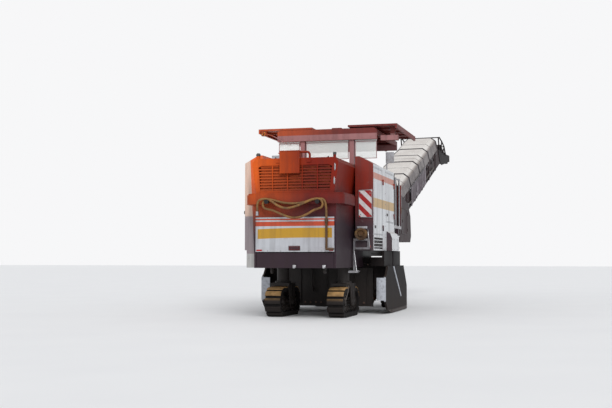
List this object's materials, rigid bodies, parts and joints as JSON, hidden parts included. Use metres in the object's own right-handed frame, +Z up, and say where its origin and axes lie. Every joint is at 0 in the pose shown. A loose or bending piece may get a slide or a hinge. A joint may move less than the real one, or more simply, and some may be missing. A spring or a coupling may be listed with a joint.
{
  "type": "cold planer milling machine",
  "caption": "Self-propelled cold planer on track units, with an enclosed milling drum, an operator's platform under a canopy and a slewing discharge conveyor ahead.",
  "frame": {"origin": "on the ground, on the centreline, midway along the overall length", "axes": "+X forward towards the discharge conveyor, +Y to the machine's left, +Z up"},
  "size_m": [14.7374, 3.16, 5.0943],
  "materials": {
    "dark_paint": "satin, faded and dusty",
    "white_paint": "satin, striped in orange-red and yellow",
    "brown_paint": "satin",
    "steel": "satin, greasy",
    "bright_metal": "bright",
    "grey_paint": "satin, dusty",
    "cover_white": "matt",
    "hood_grey": "satin",
    "worn_steel": "rusty and worn",
    "black_rubber": "matt",
    "black_plastic": "matt",
    "board_red": "red and white diagonals",
    "glass": "clear",
    "hose_rubber": "matt, dirty yellow-brown"
  },
  "bodies": {
    "chassis": {"main_frame": "steel", "lashing_eyes": "steel", "engine_block": "steel", "cooler": "steel", "rear_hood": "dark_paint", "grille": "dark_paint", "ledge": "dark_paint", "stripe_panel": "white_paint", "exhaust_box": "dark_paint", "hood_fittings": "dark_paint", "cabinet_left": "white_paint", "cabinet_right": "white_paint", "fairings": "white_paint", "warning_board": "board_red", "bulkhead": "dark_paint", "platform": "dark_paint", "consoles": "black_plastic", "seats": "black_plastic", "rails": "bright_metal", "post_sleeves": "dark_paint", "drum_housing": "dark_paint", "receiving_conveyor": "grey_paint", "front_tanks": "white_paint", "mirrors": "black_plastic", "rear_steps": "bright_metal", "hose_hooks": "steel", "standpipe": "steel", "hose": "hose_rubber", "hose_fitting": "bright_metal"},
    "rear_flap": {"rear_flap": "dark_paint"},
    "door_left": {"door_left": "white_paint"},
    "door_right": {"door_right": "white_paint"},
    "gate_left": {"gate_left": "white_paint"},
    "gate_right": {"gate_right": "white_paint"},
    "canopy": {"canopy_frame": "brown_paint", "rear_panes": "glass"},
    "extension_left": {"extension_left": "brown_paint"},
    "extension_right": {"extension_right": "brown_paint"},
    "drum": {"milling_drum": "worn_steel"},
    "scraper": {"scraper": "steel"},
    "side_plate_left": {"side_plate_left": "dark_paint"},
    "side_plate_right": {"side_plate_right": "dark_paint"},
    "unit_rear_left": {"leg_rl": "steel", "track_rl": "worn_steel"},
    "unit_rear_right": {"leg_rr": "steel", "track_rr": "worn_steel"},
    "unit_front_left": {"leg_fl": "steel", "track_fl": "worn_steel"},
    "unit_front_right": {"leg_fr": "steel", "track_fr": "worn_steel"},
    "turntable": {"turntable": "steel"},
    "conveyor": {"conveyor_frame": "grey_paint", "conveyor_belt": "black_rubber", "conveyor_covers": "cover_white", "discharge_hood": "hood_grey"},
    "lift_barrels": {"lift_barrels": "steel"},
    "lift_rods": {"lift_rods": "bright_metal"}
  },
  "joints": [
    {"name": "flap_hinge", "type": "hinge", "parent": "chassis", "child": "rear_flap", "pos_m": [-7.185, 0, 1.287], "axis": [0, 1, 0], "range_deg": [0, 85]},
    {"name": "door_left_hinge", "type": "hinge", "parent": "chassis", "child": "door_left", "pos_m": [-4.837, 1.297, 2.4], "axis": [0, 0, -1], "range_deg": [0, 100]},
    {"name": "door_right_hinge", "type": "hinge", "parent": "chassis", "child": "door_right", "pos_m": [-4.837, -1.297, 2.4], "axis": [0, 0, 1], "range_deg": [0, 100]},
    {"name": "gate_left_hinge", "type": "hinge", "parent": "chassis", "child": "gate_left", "pos_m": [-3.547, 1.297, 2.5], "axis": [0, 0, -1], "range_deg": [0, 100]},
    {"name": "gate_right_hinge", "type": "hinge", "parent": "chassis", "child": "gate_right", "pos_m": [-3.547, -1.297, 2.5], "axis": [0, 0, 1], "range_deg": [0, 100]},
    {"name": "canopy_lift", "type": "slide", "parent": "chassis", "child": "canopy", "axis": [0, 0, 1], "range_m": [-0.4, 0]},
    {"name": "extension_left_slide", "type": "slide", "parent": "canopy", "child": "extension_left", "axis": [0, -1, 0], "range_m": [0, 0.25]},
    {"name": "extension_right_slide", "type": "slide", "parent": "canopy", "child": "extension_right", "axis": [0, 1, 0], "range_m": [0, 0.25]},
    {"name": "drum_spin", "type": "hinge", "parent": "chassis", "child": "drum", "pos_m": [-3.8, 0, 0.63], "axis": [0, 1, 0], "continuous": true},
    {"name": "scraper_lift", "type": "slide", "parent": "chassis", "child": "scraper", "axis": [0, 0, 1], "range_m": [0, 0.24]},
    {"name": "side_plate_left_lift", "type": "slide", "parent": "chassis", "child": "side_plate_left", "axis": [0, 0, 1], "range_m": [0, 0.3]},
    {"name": "side_plate_right_lift", "type": "slide", "parent": "chassis", "child": "side_plate_right", "axis": [0, 0, 1], "range_m": [0, 0.3]},
    {"name": "rear_left_steer", "type": "hinge", "parent": "chassis", "child": "unit_rear_left", "pos_m": [-5.85, 0.654, 1.2], "axis": [0, 0, 1], "range_deg": [-25, 25]},
    {"name": "rear_right_steer", "type": "hinge", "parent": "chassis", "child": "unit_rear_right", "pos_m": [-5.85, -0.654, 1.2], "axis": [0, 0, 1], "range_deg": [-25, 25]},
    {"name": "front_left_steer", "type": "hinge", "parent": "chassis", "child": "unit_front_left", "pos_m": [-1.45, 0.85, 1.2], "axis": [0, 0, 1], "range_deg": [-25, 25]},
    {"name": "front_right_steer", "type": "hinge", "parent": "chassis", "child": "unit_front_right", "pos_m": [-1.45, -0.85, 1.2], "axis": [0, 0, 1], "range_deg": [-25, 25]},
    {"name": "conveyor_slew", "type": "hinge", "parent": "chassis", "child": "turntable", "pos_m": [-0.05, 0, 1.45], "axis": [0, 0, 1], "range_deg": [-55.5, 64.5]},
    {"name": "conveyor_lift", "type": "hinge", "parent": "turntable", "child": "conveyor", "pos_m": [0.00982, -0.00471, 1.98485], "axis": [-0.0785, -0.9969, 0], "range_deg": [-14, 4]},
    {"name": "barrel_pivot", "type": "hinge", "parent": "turntable", "child": "lift_barrels", "pos_m": [0.4684, -0.0408, 1.52], "axis": [-0.0785, -0.9969, 0], "range_deg": [-16, 5]},
    {"name": "rod_slide", "type": "slide", "parent": "lift_barrels", "child": "lift_rods", "axis": [0.835, -0.0657, 0.5462], "range_m": [-0.16, 0.05]}
  ],
  "couplings": [
    {"joint": "rear_right_steer", "follows": "rear_left_steer", "ratio": 1},
    {"joint": "front_right_steer", "follows": "front_left_steer", "ratio": 1},
    {"joint": "barrel_pivot", "follows": "conveyor_lift", "ratio": 1.0909},
    {"joint": "rod_slide", "follows": "conveyor_lift", "m_per_rad": 0.6234}
  ]
}
